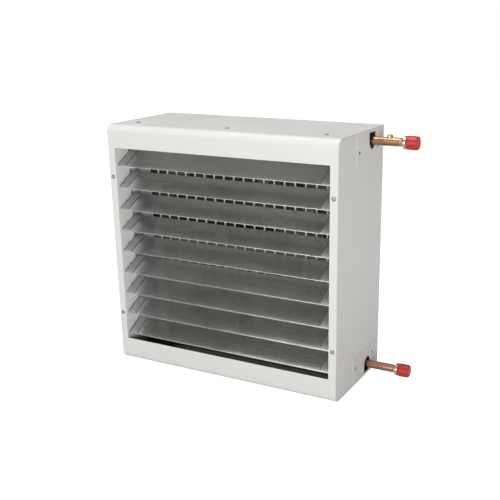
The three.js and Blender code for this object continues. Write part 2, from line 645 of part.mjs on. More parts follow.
// ---------- assembly ----------
addMesh("front_frame", frontFrame(), finish.paint);
addMesh("top_panel", topPanel(), finish.paint);
addMesh("bottom_panel", bottomPanel(), finish.paint);
const grommetHole = circle(grommetY, grommet.height, grommet.neck + seatGap);
addMesh("left_side_panel", sidePanel(-1, [grommetHole]), finish.paint);
addMesh("right_side_panel", sidePanel(1, ["upper", "lower"].flatMap((end) =>
  [slotOutline(end, cover.windowGrow), ...coverScrewHoles(end)])), finish.paint);
addMesh("rear_frame", rearFrame(), finish.galvanised);

for (const end of ["upper", "lower"]) {
  addMesh(end + "_pipe_cover", pipeCover(end), finish.paint);
  const line = new THREE.Group();
  line.position.set(0, fromFront(coilDepth), pipeHeights[end]);
  heater.add(line);
  addMesh(end + "_header_pipe", headerPipe(), finish.copper, line);
  addMesh(end + "_pipe_union", pipeUnion(), finish.brass, line);
  addMesh(end + "_pipe_cap", pipeCap(), finish.redPlastic, line);
}

anchorPlaces.forEach(([x, z], i) => {
  const nut = addMesh("weld_nut_" + (i + 1), weldNut(), finish.zinc);
  nut.position.set(x, backY - sheet - seatGap - anchor.length, z);
});

function placeScrew(name, size, position, rotation) {
  const mesh = addMesh(name, screw(size), finish.zinc);
  mesh.position.set(...position);
  mesh.rotation.set(...rotation);
}
const quarter = Math.PI / 2;
frontScrewPlaces.forEach(([x, z], i) =>
  placeScrew("front_screw_" + (i + 1), bigScrew, [x, frontY - seatGap, z], [2 * quarter, 0, 0]));
topScrewPlaces.forEach((x, i) =>
  placeScrew("top_screw_" + (i + 1), bigScrew,
    [x, fromFront(topScrew.depth), casing.height + seatGap], [quarter, 0, 0]));
for (const end of ["upper", "lower"]) {
  coverScrewDepths.forEach((depth, i) =>
    placeScrew(end + "_cover_screw_" + (i + 1), smallScrew,
      [halfWidth + cover.sheet + 2 * seatGap, fromFront(depth), heightFromEdge(end, coverScrew.fromEdge)],
      [0, 0, -quarter]));
}

addMesh("left_louvre_rail", louvreRail(-1), finish.paint);
addMesh("right_louvre_rail", louvreRail(1), finish.paint);
for (let index = 0; index < louvre.count; index++) {
  const pivot = new THREE.Group();
  pivot.position.set(0, fromFront(louvre.pivotDepth), pivotHeight(index));
  pivot.rotation.x = radians(louvre.tilt + louvreTrim[index]);
  heater.add(pivot);
  addMesh("louvre_" + (index + 1), louvreBlade(), finish.aluminium, pivot);
}
addMesh("guard_grid", guardGrid(), finish.galvanised);
addMesh("left_guard_bracket", guardBracket(-1), finish.galvanised);
addMesh("right_guard_bracket", guardBracket(1), finish.galvanised);

addMesh("fan_shroud_plate", shroudPlate(), finish.galvanised);
addMesh("motor_bracket", motorBracket(), finish.galvanised);
const fanAxis = new THREE.Group();
fanAxis.position.set(0, frontY, middleZ);
heater.add(fanAxis);
addMesh("motor_stator", motorStator(), finish.darkSteel, fanAxis);
bearingDepths.forEach((depth, i) =>
  addMesh("motor_bearing_" + (i + 1), motorBearing(depth), finish.bearing, fanAxis));
addMesh("motor_shaft", motorShaft(), finish.bearing, fanAxis);
addMesh("rotor_can", rotorCan(), finish.darkSteel, fanAxis);
addMesh("fan_impeller", fanImpeller(), finish.blackPlastic, fanAxis).position.y = fan.middleDepth;

addMesh("coil_core", coilCore(), finish.fins);
addMesh("coil_top_plate", coilPlate(1), finish.galvanised);
addMesh("coil_bottom_plate", coilPlate(-1), finish.galvanised);
addMesh("vent_body", ventBody(), finish.brass);
placeScrew("vent_screw", ventScrew, [ventX, fromFront(coilDepth), ventTop + seatGap], [quarter, 0, 0]);

addMesh("terminal_box", terminalBox(), finish.blackPlastic);
addMesh("terminal_box_lid", terminalBoxLid(), finish.blackPlastic);
addMesh("terminal_block", terminalBlock(), finish.paleBlock);
addMesh("cable_grommet", cableGrommet(), finish.rubber).position.set(0, grommetY, grommet.height);

export default heater;
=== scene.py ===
import json
import math

import bmesh
import bpy
from mathutils import Matrix, Vector


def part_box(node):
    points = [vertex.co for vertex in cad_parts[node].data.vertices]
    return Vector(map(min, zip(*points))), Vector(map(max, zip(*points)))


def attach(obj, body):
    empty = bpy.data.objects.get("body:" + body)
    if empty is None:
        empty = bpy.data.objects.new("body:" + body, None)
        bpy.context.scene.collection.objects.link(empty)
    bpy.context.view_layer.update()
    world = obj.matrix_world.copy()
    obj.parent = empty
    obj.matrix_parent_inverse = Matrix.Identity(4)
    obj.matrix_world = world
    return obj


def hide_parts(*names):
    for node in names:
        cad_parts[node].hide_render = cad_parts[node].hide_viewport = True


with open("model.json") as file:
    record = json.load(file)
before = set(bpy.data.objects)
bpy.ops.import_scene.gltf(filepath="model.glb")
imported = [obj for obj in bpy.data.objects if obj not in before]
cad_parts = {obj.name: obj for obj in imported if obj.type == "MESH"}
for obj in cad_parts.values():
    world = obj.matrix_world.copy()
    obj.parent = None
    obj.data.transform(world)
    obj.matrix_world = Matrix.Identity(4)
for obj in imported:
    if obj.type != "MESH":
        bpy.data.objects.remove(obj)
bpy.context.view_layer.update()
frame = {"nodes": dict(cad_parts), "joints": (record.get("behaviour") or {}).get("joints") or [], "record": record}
record = frame["record"]
jointOf = {joint["name"]: joint for joint in frame["joints"]}
bodyOf = {node: body for body, nodes in record["behaviour"]["bodies"].items() for node in nodes}
print("frame loaded:", len(frame["nodes"]), "nodes")


# Pieces are drawn in millimetres and brought to metres when they are finished.
def corners(node):
    low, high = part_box(node)
    return Vector(low) * 1000, Vector(high) * 1000


casingLow, casingHigh = corners("front_frame")
middleZ = (casingLow.z + casingHigh.z) / 2


class Wire:
    # one shader socket, so that shader maths reads as plain expressions
    def __init__(self, tree, socket):
        self.tree = tree
        self.socket = socket

    def add(self, kind, settings=None, feeds=None, out=0):
        node = self.tree.nodes.new(kind)
        for key, value in (settings or {}).items():
            setattr(node, key, value)
        for key, value in (feeds or {}).items():
            if isinstance(value, Wire):
                self.tree.links.new(value.socket, node.inputs[key])
            else:
                node.inputs[key].default_value = value
        return Wire(self.tree, node.outputs[out])

    def maths(self, operation, first, second):
        return self.add("ShaderNodeMath", {"operation": operation}, {0: first, 1: second})

    def __add__(self, other):
        return self.maths("ADD", self, other)

    def __radd__(self, other):
        return self.maths("ADD", other, self)

    def __sub__(self, other):
        return self.maths("SUBTRACT", self, other)

    def __rsub__(self, other):
        return self.maths("SUBTRACT", other, self)

    def __mul__(self, other):
        return self.maths("MULTIPLY", self, other)

    def __rmul__(self, other):
        return self.maths("MULTIPLY", other, self)


def noise(at, scale, detail=3, stretch=(1, 1, 1), roughness=0.5):
    laid = at.add("ShaderNodeMapping", None, {"Vector": at, "Scale": stretch})
    return laid.add("ShaderNodeTexNoise", None,
                    {"Vector": laid, "Scale": scale, "Detail": detail, "Roughness": roughness})


def spread(value, low, high, toLow=0.0, toHigh=1.0):
    return value.add("ShaderNodeMapRange", None,
                     {"Value": value, "From Min": low, "From Max": high, "To Min": toLow, "To Max": toHigh})


def mixColour(factor, first, second):
    sides = {6: first, 7: second}
    feeds = {key: side if isinstance(side, Wire) else (*side, 1) for key, side in sides.items()}
    return factor.add("ShaderNodeMix", {"data_type": "RGBA"}, {0: factor, **feeds}, out=2)


def startMaterial(name, fixed):
    material = bpy.data.materials.new(name)
    material.use_nodes = True
    tree = material.node_tree
    shader = tree.nodes["Principled BSDF"]
    for socket, value in fixed.items():
        shader.inputs[socket].default_value = value
    at = Wire(tree, tree.nodes.new("ShaderNodeTexCoord").outputs["Object"])
    return material, shader, at


def plug(shader, socket, wire):
    wire.tree.links.new(wire.socket, shader.inputs[socket])


def addBump(shader, height, strength, distance):
    plug(shader, "Normal", height.add("ShaderNodeBump", None, {"Height": height, "Strength": strength,
                                                               "Distance": distance}))


# Two tones mixed by blotches and by a fine grain, which also makes the bump. Bump is strength and metres.
finishes = {
    "casingPaint": {"tones": [(0.705, 0.698, 0.676), (0.74, 0.733, 0.711)], "blotch": 9, "rough": (0.36, 0.48),
                    "grain": 900, "bump": (0.12, 0.0001), "fixed": {"Specular IOR Level": 0.25, "Coat Weight": 0.12}},
    "railPaint": {"tones": [(0.88, 0.88, 0.87), (0.92, 0.92, 0.91)], "blotch": 9, "rough": (0.36, 0.48),
                  "grain": 900, "bump": (0.12, 0.0001), "fixed": {"Coat Weight": 0.12}},
    "louvreMetal": {"tones": [(0.62, 0.63, 0.60), (0.88, 0.89, 0.86)], "blotch": 6, "rough": (0.17, 0.28),
                    "grain": 900, "stretch": (0.01, 1, 1), "bump": (0.3, 0.0001), "fixed": {"Metallic": 0.9}},
    "holderMetal": {"tones": [(0.40, 0.405, 0.41), (0.55, 0.555, 0.56)], "blotch": 40, "rough": (0.42, 0.55),
                    "grain": 900, "bump": (0.15, 0.0001), "fixed": {"Metallic": 0.6}},
    # darkSheetAndShadow is the dark painted steel of the motor and its bracket; on the shroud plate its near-black,
    # slightly green tone is partly painted shade of the casing's dim inside, and on the louvre holders' edge strips
    # it is painted shadow.
    "darkSheetAndShadow": {"tones": [(0.10, 0.105, 0.092), (0.15, 0.155, 0.14)], "blotch": 14, "rough": (0.4, 0.6),
                  "grain": 800, "bump": (0.2, 0.0001), "fixed": {"Metallic": 0.3}},
    "wireZinc": {"tones": [(0.50, 0.51, 0.50), (0.66, 0.67, 0.65)], "blotch": 60, "rough": (0.35, 0.6),
                 "grain": 1400, "bump": (0.25, 0.0001), "fixed": {"Metallic": 0.5}},
    "finMetal": {"tones": [(0.72, 0.74, 0.76), (0.86, 0.88, 0.90)], "blotch": 18, "rough": (0.35, 0.5),
                 "grain": 500, "bump": (0.1, 0.0001), "fixed": {"Metallic": 0.7}},
    "screwZinc": {"tones": [(0.34, 0.34, 0.33), (0.50, 0.50, 0.48)], "blotch": 150, "rough": (0.22, 0.4),
                  "grain": 2500, "bump": (0.1, 0.00005), "fixed": {"Metallic": 1}},
    "groundSteel": {"tones": [(0.52, 0.53, 0.54), (0.66, 0.67, 0.68)], "blotch": 60, "rough": (0.15, 0.3),
                    "grain": 900, "stretch": (1, 0.05, 1), "bump": (0.1, 0.00005), "fixed": {"Metallic": 1}},
    "fanPlastic": {"tones": [(0.018, 0.018, 0.020), (0.032, 0.032, 0.034)], "blotch": 20, "rough": (0.4, 0.6),
                   "grain": 1200, "bump": (0.2, 0.0001), "fixed": {}},
    "palePlastic": {"tones": [(0.64, 0.63, 0.58), (0.72, 0.71, 0.66)], "blotch": 60, "rough": (0.4, 0.55),
                    "grain": 1500, "bump": (0.15, 0.0001), "fixed": {}},
    # blackRubberAndShadow is the grommet's rubber and also the thin black ring under each screw head, which is
    # painted shadow.
    "blackRubberAndShadow": {"tones": [(0.016, 0.016, 0.016), (0.028, 0.028, 0.028)], "blotch": 70,
                    "rough": (0.65, 0.85), "grain": 1800, "bump": (0.3, 0.0001), "fixed": {}},
    "brazeAlloy": {"tones": [(0.62, 0.52, 0.36), (0.86, 0.80, 0.68)], "blotch": 160, "rough": (0.18, 0.4),
                   "grain": 900, "bump": (0.3, 0.0002), "fixed": {"Metallic": 1}},
    "greenFlux": {"tones": [(0.02, 0.09, 0.055), (0.66, 0.62, 0.50)], "blotch": 90, "rough": (0.3, 0.6),
                  "grain": 300, "bump": (0.3, 0.0002), "fixed": {"Metallic": 0.5}},
}


def plainFinish(name):
    look = finishes[name]
    material, shader, at = startMaterial(name, look["fixed"])
    blotch = noise(at, look["blotch"], detail=4)
    grain = noise(at, look["grain"], stretch=look.get("stretch", (1, 1, 1)))
    tone = spread(blotch, 0.3, 0.7) * 0.6 + spread(grain, 0.3, 0.7) * 0.4
    plug(shader, "Base Color", mixColour(tone, *look["tones"]))
    plug(shader, "Roughness", spread(blotch * 0.5 + grain * 0.5, 0.35, 0.65, *look["rough"]))
    addBump(shader, grain, *look["bump"])
    return material


# Hot-dip zinc with its crystal spangle.
def galvanisedFinish():
    material, shader, at = startMaterial("galvanised", {"Metallic": 1.0})
    cells = at.add("ShaderNodeTexVoronoi", {"feature": "F1"}, {"Vector": at, "Scale": 75}, out=1)
    spangle = cells.add("ShaderNodeSeparateColor", None, {"Color": cells})
    fine = noise(at, 900)
    tone = spangle * 0.45 + spread(noise(at, 9), 0.3, 0.7) * 0.35 + fine * 0.2
    plug(shader, "Base Color", mixColour(tone, (0.42, 0.44, 0.45), (0.66, 0.68, 0.69)))
    plug(shader, "Roughness", spread(tone, 0.2, 0.8, 0.32, 0.55))
    addBump(shader, fine, 0.1, 0.0001)
    return material


# Drawn tube with heat stains.
def copperFinish():
    material, shader, at = startMaterial("copper", {"Metallic": 1.0})
    drawn = noise(at, 500, stretch=(0.04, 1, 1))
    patch = noise(at, 48, detail=5, stretch=(0.6, 1, 1), roughness=0.6)
    tarnish = spread(patch, 0.44, 0.66)
    clean = mixColour(spread(drawn, 0.3, 0.7), (0.38, 0.18, 0.095), (0.68, 0.39, 0.24))
    plug(shader, "Base Color", mixColour(tarnish * 0.85, clean, (0.16, 0.07, 0.04)))
    plug(shader, "Roughness", spread(tarnish * 0.7 + drawn * 0.3, 0.1, 0.8, 0.2, 0.48))
    addBump(shader, drawn * 0.6 + patch * 0.4, 0.15, 0.00015)
    return material


def brassFinish():
    material, shader, at = startMaterial("brass", {"Metallic": 1.0})
    turned = noise(at, 1600, stretch=(1, 0.2, 0.2))
    stain = spread(noise(at, 70, detail=4), 0.45, 0.75)
    tone = mixColour(spread(turned, 0.3, 0.7), (0.72, 0.52, 0.31), (0.88, 0.70, 0.48))
    plug(shader, "Base Color", mixColour(stain * 0.6, tone, (0.48, 0.28, 0.15)))
    plug(shader, "Roughness", spread(stain, 0.0, 1.0, 0.2, 0.42))
    addBump(shader, turned, 0.15, 0.0001)
    return material


# Soft moulded plastic with pale scuffs.
def capFinish():
    material, shader, at = startMaterial("redPlastic", {"Coat Weight": 0.1, "Coat Roughness": 0.25})
    cloud = noise(at, 120)
    scuff = noise(at, 420, detail=5, stretch=(1, 0.3, 1), roughness=0.65)
    body = mixColour(spread(cloud, 0.3, 0.7), (0.38, 0.006, 0.010), (0.52, 0.014, 0.020))
    plug(shader, "Base Color", mixColour(spread(scuff, 0.58, 0.72) * 0.2, body, (0.66, 0.12, 0.11)))
    plug(shader, "Roughness", spread(scuff, 0.3, 0.75, 0.26, 0.5))
    addBump(shader, scuff, 0.2, 0.0001)
    return material


materials = {name: plainFinish(name) for name in finishes}
materials["galvanised"] = galvanisedFinish()
materials["copper"] = copperFinish()
materials["brass"] = brassFinish()
materials["redPlastic"] = capFinish()
print("finishes ready:", len(materials))


def closePart(part):
    bmesh.ops.remove_doubles(part, verts=part.verts, dist=0.002)
    bmesh.ops.recalc_face_normals(part, faces=part.faces)


# Adds a finished part to a piece; look is the place of its material in the piece's list.
def addPart(piece, part, look=None):
    if look is not None:
        for face in part.faces:
            face.material_index = look
    mesh = bpy.data.meshes.new("part")
    part.to_mesh(mesh)
    part.free()
    piece.from_mesh(mesh)
    bpy.data.meshes.remove(mesh)


def finishPiece(name, bm, looks, nodes, sharpAngle=35):
    bmesh.ops.scale(bm, vec=(0.001, 0.001, 0.001), verts=bm.verts)
    for face in bm.faces:
        face.smooth = True
    mesh = bpy.data.meshes.new(name)
    bm.to_mesh(mesh)
    bm.free()
    mesh.set_sharp_from_angle(angle=math.radians(sharpAngle))
    for look in looks:
        mesh.materials.append(materials[look])
    piece = bpy.data.objects.new(name, mesh)
    bpy.context.scene.collection.objects.link(piece)
    weighted = piece.modifiers.new("weighted", "WEIGHTED_NORMAL")
    weighted.keep_sharp = True
    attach(piece, bodyOf[nodes[0]])
    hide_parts(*nodes)
    return piece


def roundEdges(bm, width, segments=2, angle=40):
    limit = math.radians(angle)
    edges = [edge for edge in bm.edges if len(edge.link_faces) == 2 and edge.calc_face_angle() > limit]
    bmesh.ops.bevel(bm, geom=edges, offset=width, offset_type="OFFSET", segments=segments, profile=0.5,
                    affect="EDGES", material=-1, clamp_overlap=False)


# How a flat drawing's two coordinates and its depth lie on the axes.
planes = {
    "acrossX": lambda a, b, depth: Vector((depth, a, b)),
    "acrossY": lambda a, b, depth: Vector((a, depth, b)),
    "acrossZ": lambda a, b, depth: Vector((a, b, depth)),
}


def cutSheet(outline, holes, plane, start, thickness, edge=0.3):
    bm = bmesh.new()
    place = planes[plane]
    edges = []
    for loop in [outline, *holes]:
        verts = [bm.verts.new(place(a, b, start)) for a, b in loop]
        edges += [bm.edges.new(pair) for pair in zip(verts, verts[1:] + verts[:1])]
    bmesh.ops.triangle_fill(bm, use_beauty=True, use_dissolve=True, edges=edges)
    raised = bmesh.ops.extrude_face_region(bm, geom=bm.faces[:])
    moved = [item for item in raised["geom"] if isinstance(item, bmesh.types.BMVert)]
    bmesh.ops.translate(bm, vec=place(0, 0, thickness), verts=moved)
    closePart(bm)
    if edge:
        roundEdges(bm, edge)
    return bm


def circle(a, b, radius, steps=24):
    turns = [2 * math.pi * step / steps for step in range(steps)]
    return [(a + radius * math.cos(turn), b + radius * math.sin(turn)) for turn in turns]


def roundedRectangle(a0, a1, b0, b1, radius, steps=5):
    points = []
    for a, b, begin in [(a1 - radius, b0 + radius, -90), (a1 - radius, b1 - radius, 0),
                        (a0 + radius, b1 - radius, 90), (a0 + radius, b0 + radius, 180)]:
        turns = [math.radians(begin + 90 * step / steps) for step in range(steps + 1)]
        points += [(a + radius * math.cos(turn), b + radius * math.sin(turn)) for turn in turns]
    return points


def boxPart(low, high, edge=0.3, segments=2):
    bm = bmesh.new()
    bmesh.ops.create_cube(bm, size=1)
    bmesh.ops.scale(bm, vec=[high[i] - low[i] for i in range(3)], verts=bm.verts)
    bmesh.ops.translate(bm, vec=[(high[i] + low[i]) / 2 for i in range(3)], verts=bm.verts)
    if edge:
        roundEdges(bm, edge, segments)
    return bm


# Turns a profile of (distance along the axis, radius); a closed profile is a ring, an open one ends on the axis.
def turnedPart(profile, origin, axis, steps=48, closed=False):
    bm = bmesh.new()
    along = Vector(axis)
    side = Vector((0, 0, 1)) if abs(along.z) < 0.9 else Vector((1, 0, 0))
    verts = [bm.verts.new(Vector(origin) + along * distance + side * radius) for distance, radius in profile]
    edges = [bm.edges.new(pair) for pair in zip(verts, verts[1:])]
    if closed:
        edges.append(bm.edges.new((verts[-1], verts[0])))
    bmesh.ops.spin(bm, geom=verts + edges, cent=Vector(origin), axis=along, angle=2 * math.pi, steps=steps,
                   use_merge=True, use_duplicate=False)
    closePart(bm)
    return bm


# Rounds the corners of a line of points; ends stay.
def softLine(points, radius, steps=4, closed=False):
    count = len(points)
    line = [] if closed else [tuple(points[0])]
    for i in range(0 if closed else 1, count if closed else count - 1):
        before, corner, after = Vector(points[i - 1]), Vector(points[i]), Vector(points[(i + 1) % count])
        reach = min(radius, (before - corner).length * 0.45, (after - corner).length * 0.45)
        start = corner + (before - corner).normalized() * reach
        end = corner + (after - corner).normalized() * reach
        for step in range(steps + 1):
            t = step / steps
            line.append(tuple(start * (1 - t) ** 2 + corner * 2 * t * (1 - t) + end * t ** 2))
    return line if closed else line + [tuple(points[-1])]


# The outline of a bent sheet whose middle follows a line.
def sheetSection(line, thickness):
    left, right = [], []
    for i, point in enumerate(line):
        before, after = Vector(line[max(i - 1, 0)]), Vector(line[min(i + 1, len(line) - 1)])
        run = (after - before).normalized()
        across = Vector((-run.y, run.x)) * thickness / 2
        left.append(tuple(Vector(point) + across))
        right.append(tuple(Vector(point) - across))
    return left + right[::-1]


# A copy of a CAD node with its loose triangles joined, its flats made whole and its edges eased.
def easedNode(node, look, edge=0.3, segments=2):
    bm = bmesh.new()
    bm.from_mesh(frame["nodes"][node].data)
    bmesh.ops.scale(bm, vec=(1000, 1000, 1000), verts=bm.verts)
    bmesh.ops.remove_doubles(bm, verts=bm.verts, dist=0.002)
    if node.endswith("pipe_cover"):  # screwed down flat on the side panel
        seat = [vert for vert in bm.verts if vert.co.x < casingHigh.x + 0.3]
        bmesh.ops.translate(bm, vec=(casingHigh.x - seat[0].co.x, 0, 0), verts=seat)
    bmesh.ops.dissolve_limit(bm, angle_limit=math.radians(0.5), verts=bm.verts, edges=bm.edges,
                             use_dissolve_boundaries=False)
    roundEdges(bm, edge, segments)
    for face in bm.faces:
        face.material_index = 0
    return finishPiece(node + "_fine", bm, [look], [node])


easedSheets = {
    "front_frame": ("casingPaint", 0.35), "top_panel": ("casingPaint", 0.35),
    "bottom_panel": ("casingPaint", 0.35), "left_side_panel": ("casingPaint", 0.35),
    "right_side_panel": ("casingPaint", 0.35), "upper_pipe_cover": ("casingPaint", 0.25),
    "lower_pipe_cover": ("casingPaint", 0.25), "rear_frame": ("galvanised", 0.3),
    "left_louvre_rail": ("railPaint", 0.3), "right_louvre_rail": ("railPaint", 0.3),
    "left_guard_bracket": ("galvanised", 0.3), "right_guard_bracket": ("galvanised", 0.3),
    "motor_bracket": ("darkSheetAndShadow", 0.5), "coil_top_plate": ("galvanised", 0.3),
    "coil_bottom_plate": ("galvanised", 0.3), "terminal_box": ("fanPlastic", 0.5),
    "terminal_box_lid": ("fanPlastic", 0.6), "terminal_block": ("palePlastic", 0.4),
}
for node, (look, edge) in easedSheets.items():
    easedNode(node, look, edge)
print("sheet metal ready")


# Outward direction, head radius and head height of each kind of screw; the recess is a share of the radius.
screwKinds = {
    "front_screw": {"count": 4, "out": (0, -1, 0), "radius": 4.25, "height": 2.5, "shank": 2},
    "top_screw": {"count": 3, "out": (0, 0, 1), "radius": 4.25, "height": 2.5, "shank": 2},
    "upper_cover_screw": {"count": 2, "out": (1, 0, 0), "radius": 3, "height": 1.75, "shank": 1.5},
    "lower_cover_screw": {"count": 2, "out": (1, 0, 0), "radius": 3, "height": 1.75, "shank": 1.5},
}
screwShape = {"cells": 7, "recessSpan": 0.42, "recessDepth": 0.5, "recessTaper": 0.75, "threadPitch": 0.8,
              "shadowRingRim": 0.5}


def crossRecessScrew(radius, height, shank, length):
    part = bmesh.new()
    cells = screwShape["cells"]
    half = radius * screwShape["recessSpan"]
    cell = 2 * half / cells
    bmesh.ops.create_grid(part, x_segments=cells, y_segments=cells, size=half)
    for vert in part.verts:
        vert.co.z = height * (1 - 0.35 * (vert.co.x ** 2 + vert.co.y ** 2) / radius ** 2)
    rim = [edge for edge in part.edges if edge.is_boundary]
    arms = []
    for face in part.faces:
        x, y = abs(face.calc_center_median().x), abs(face.calc_center_median().y)
        if min(x, y) < cell * 0.5 and max(x, y) < cell * 2.6:
            arms.append(face)
    sunk = bmesh.ops.extrude_face_region(part, geom=arms)["geom"]
    sunkVerts = [item for item in sunk if isinstance(item, bmesh.types.BMVert)]
    bmesh.ops.translate(part, vec=(0, 0, -height * screwShape["recessDepth"]), verts=sunkVerts)
    bmesh.ops.scale(part, vec=(screwShape["recessTaper"], screwShape["recessTaper"], 1), verts=sunkVerts)
    rings = [(0.66, 0.84), (0.8, 0.72), (0.92, 0.5), (0.985, 0.25), (1, 0.08), (0.985, 0)]
    steps = [(radius * r, height * h) for r, h in rings]
    turns = int(length / screwShape["threadPitch"])
    for i in range(turns * 2 + 1):
        steps.append((shank * (0.82 if i % 2 else 1), -length * i / (turns * 2)))
    for ringRadius, ringHeight in steps:
        made = bmesh.ops.extrude_edge_only(part, edges=rim)["geom"]
        for vert in [item for item in made if isinstance(item, bmesh.types.BMVert)]:
            away = Vector((vert.co.x, vert.co.y, 0)).normalized() * ringRadius
            vert.co = (away.x, away.y, ringHeight)
        rim = [item for item in made if isinstance(item, bmesh.types.BMEdge) and item.is_boundary]
    bmesh.ops.edgeloop_fill(part, edges=rim)
    closePart(part)
    return part


# The seat is the plane under the head; the screw's middle comes from its CAD node. A thin black ring fills
# the gap to the sheet; it is painted shadow under the head.
def placeScrew(node, out, part, radius, height):
    low, high = corners(node)
    out = Vector(out)
    tip = Vector([(high if out[i] > 0 else low)[i] if out[i] else (low[i] + high[i]) / 2 for i in range(3)])
    seat = tip - out * height
    turn = out.to_track_quat("Z", "Y").to_matrix()
    bmesh.ops.rotate(part, cent=(0, 0, 0), matrix=turn, verts=part.verts)
    bmesh.ops.translate(part, vec=seat, verts=part.verts)
    piece = bmesh.new()
    addPart(piece, part, 0)
    reach = radius + screwShape["shadowRingRim"]
    ring = [(-0.2, radius * 0.5), (-0.2, reach), (0.1, reach - 0.1), (0.1, radius * 0.5)]
    addPart(piece, turnedPart(ring, seat, out, 28, closed=True), 1)
    finishPiece(node + "_fine", piece, ["screwZinc", "blackRubberAndShadow"], [node], sharpAngle=50)


for kind, size in screwKinds.items():
    for number in range(1, size["count"] + 1):
        node = kind + "_" + str(number)
        low, high = corners(node)
        length = max(high[i] - low[i] for i in range(3) if size["out"][i]) - size["height"]
        part = crossRecessScrew(size["radius"], size["height"], size["shank"], length)
        placeScrew(node, size["out"], part, size["radius"], size["height"])
print("screws ready")


louvreShape = {
    "half": 261, "chord": 60, "sheet": 1.5, "lip": 0.5, "kick": 0.3, "kickLength": 9, "bend": 1.6,
    "tilt": 29.5, "trim": [0, 0, 0, -1.5, -4, -5, -2.5, -0.5, 0],
    "holderWidth": 22, "holderHalf": 27, "holderSheet": 2.3,
    "ribPitch": 4.5, "ribHeight": 0.4, "ribMargin": 1, "ribTurns": (0.2, 0.55, 0.75),
    "shadowLine": 1.2, "shadowLineHalf": 1.6,
    "shoulder": 3.0, "shoulderEnd": 263.5, "pin": 3, "pinEnd": 267.5,
}


# Ribbed strip over the blade's end; the ribs run from the blade's front to its back.
def holderSection(start, width):
    shape = louvreShape
    thick, rib = shape["holderSheet"] / 2, shape["ribHeight"]
    ribbed = width - 2 * shape["ribMargin"]
    count = int(ribbed / shape["ribPitch"])
    pitch = ribbed / count
    risen, falling, fallen = shape["ribTurns"]    # shares of one rib's pitch
    top = [(start, thick)]
    for i in range(count):
        begin = start + shape["ribMargin"] + i * pitch
        top += [(begin, thick), (begin + pitch * risen, thick + rib), (begin + pitch * falling, thick + rib),
                (begin + pitch * fallen, thick)]
    top += [(start + width, thick)]
    return top + [(x, -z) for x, z in top[::-1]]


def louvreBlade(index):
    shape = louvreShape
    half = shape["chord"] / 2
    front = -half + shape["sheet"] / 2
    line = [(front, -shape["lip"]), (front, 0), (half - shape["kickLength"], 0), (half, shape["kick"])]
    section = sheetSection(softLine(line, shape["bend"], 5), shape["sheet"])
    bm = bmesh.new()
    addPart(bm, cutSheet(section, [], "acrossX", -shape["half"], 2 * shape["half"], edge=0.25), 0)
    for side in (-1, 1):
        inner = side * (shape["half"] - shape["holderWidth"])
        outer = side * (shape["half"] + 0.25)
        start, width = min(inner, outer), abs(outer - inner)
        addPart(bm, cutSheet(holderSection(start, width), [], "acrossY", -shape["holderHalf"],
                             2 * shape["holderHalf"], edge=0), 1)
        # Thin dark strips along both long edges of each holder: painted shadow lines of the gaps beside it.
        for edgeX in (inner, outer - side * shape["shadowLine"]):
            shadowLineStart = min(edgeX, edgeX + side * shape["shadowLine"])
            addPart(bm, boxPart((shadowLineStart, -shape["holderHalf"], -shape["shadowLineHalf"]),
                                (shadowLineStart + shape["shadowLine"], shape["holderHalf"], shape["shadowLineHalf"]), 0.3), 2)
        pin = [(0, 0), (0, shape["shoulder"]), (shape["shoulderEnd"] - shape["half"], shape["shoulder"]),
               (shape["shoulderEnd"] - shape["half"], shape["pin"]),
               (shape["pinEnd"] - shape["half"] - 0.5, shape["pin"]),
               (shape["pinEnd"] - shape["half"], shape["pin"] - 0.5), (shape["pinEnd"] - shape["half"], 0)]
        addPart(bm, turnedPart(pin, (side * shape["half"], 0, 0), (side, 0, 0), 24), 1)
    pivot = Vector(jointOf["louvre_" + str(index + 1) + "_tilt"]["pos_m"]) * 1000
    turn = Matrix.Rotation(math.radians(shape["tilt"] + shape["trim"][index]), 3, "X")
    bmesh.ops.rotate(bm, cent=(0, 0, 0), matrix=turn, verts=bm.verts)
    bmesh.ops.translate(bm, vec=pivot, verts=bm.verts)
    node = "louvre_" + str(index + 1)
    finishPiece(node + "_fine", bm, ["louvreMetal", "holderMetal", "darkSheetAndShadow"], [node])


for index in range(len(louvreShape["trim"])):
    louvreBlade(index)
print("louvres ready")


guardShape = {"pitch": 25, "width": 4, "depth": 1.9, "sides": 12, "acrossFront": 0.95, "upFront": 2.05}


# A flattened wire from one point to another, with eased ends.
def wirePart(start, end, width, depth, edge=0.4):
    part = bmesh.new()
    along = (end - start).normalized()
    reach = (end - start).length
    bmesh.ops.create_circle(part, cap_ends=True, radius=1, segments=guardShape["sides"])
    raised = bmesh.ops.extrude_face_region(part, geom=part.faces[:])["geom"]
    bmesh.ops.translate(part, vec=(0, 0, reach), verts=[item for item in raised
                                                        if isinstance(item, bmesh.types.BMVert)])
    turn = Matrix((along.cross(Vector((0, 1, 0))), Vector((0, 1, 0)), along)).transposed()
    bmesh.ops.scale(part, vec=(width / 2, depth / 2, 1), verts=part.verts)
    bmesh.ops.rotate(part, cent=(0, 0, 0), matrix=turn, verts=part.verts)
    bmesh.ops.translate(part, vec=start, verts=part.verts)
    closePart(part)
    roundEdges(part, edge, 1, angle=60)
    return part


def guardGrid():
    low, high = corners("guard_grid")
    size, pitch = guardShape, guardShape["pitch"]
    half = size["width"] / 2
    bm = bmesh.new()
    columns = round((high.x - low.x - size["width"]) / pitch)
    rows = round((high.z - low.z - size["width"]) / pitch)
    for i in range(columns + 1):
        x = low.x + half + i * pitch
        y = low.y + size["acrossFront"]
        addPart(bm, wirePart(Vector((x, y, low.z)), Vector((x, y, high.z)), size["width"], size["depth"]), 0)
    for i in range(rows + 1):
        z = low.z + half + i * pitch
        y = low.y + size["upFront"]
        addPart(bm, wirePart(Vector((low.x, y, z)), Vector((high.x, y, z)), size["width"] * 0.85,
                             size["depth"]), 0)
    finishPiece("guard_grid_fine", bm, ["wireZinc"], ["guard_grid"])


